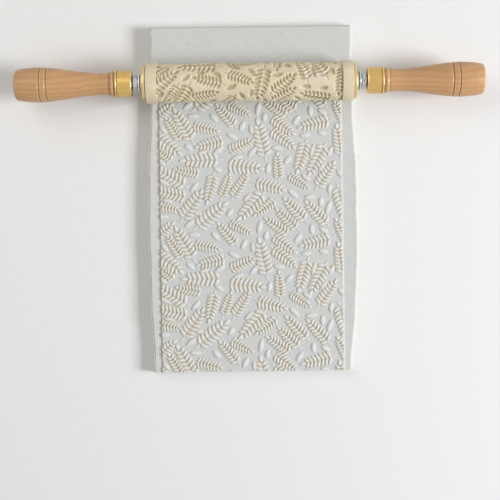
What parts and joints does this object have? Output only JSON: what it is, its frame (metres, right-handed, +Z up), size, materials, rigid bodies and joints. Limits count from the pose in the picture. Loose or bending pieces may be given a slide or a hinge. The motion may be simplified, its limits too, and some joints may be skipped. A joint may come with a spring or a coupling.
{
  "type": "clay texture roller",
  "caption": "Hand roller with a leaf-engraved drum that turns on an axle between two turned wooden handles, for printing clay.",
  "frame": {"origin": "centre of the drum, on the axle's axis, which is also the centre of the whole roller", "axes": "+X along the axle towards the right handle, +Y the way it rolls away from the user, +Z up"},
  "size_m": [0.2536, 0.022, 0.022],
  "materials": {
    "sleeve_resin": "satin",
    "beech": "satin",
    "steel": "brushed",
    "brass": "satin",
    "nylon": "matte"
  },
  "bodies": {
    "frame": {"axle": "steel", "thrust_washer_left": "steel", "lock_nut_left": "steel", "ferrule_left": "brass", "handle_left": "beech", "end_washer_left": "steel", "end_nut_left": "brass", "thrust_washer_right": "steel", "lock_nut_right": "steel", "ferrule_right": "brass", "handle_right": "beech", "end_washer_right": "steel", "end_nut_right": "brass"},
    "drum": {"texture_sleeve": "sleeve_resin", "drum_core": "beech", "end_cap_left": "brass", "bush_left": "nylon", "cap_screw_left_1": "steel", "cap_screw_left_2": "steel", "cap_screw_left_3": "steel", "end_cap_right": "brass", "bush_right": "nylon", "cap_screw_right_1": "steel", "cap_screw_right_2": "steel", "cap_screw_right_3": "steel"}
  },
  "joints": [
    {"name": "drum_spin", "type": "hinge", "parent": "frame", "child": "drum", "pos_m": [0, 0, 0], "axis": [1, 0, 0], "continuous": true}
  ]
}
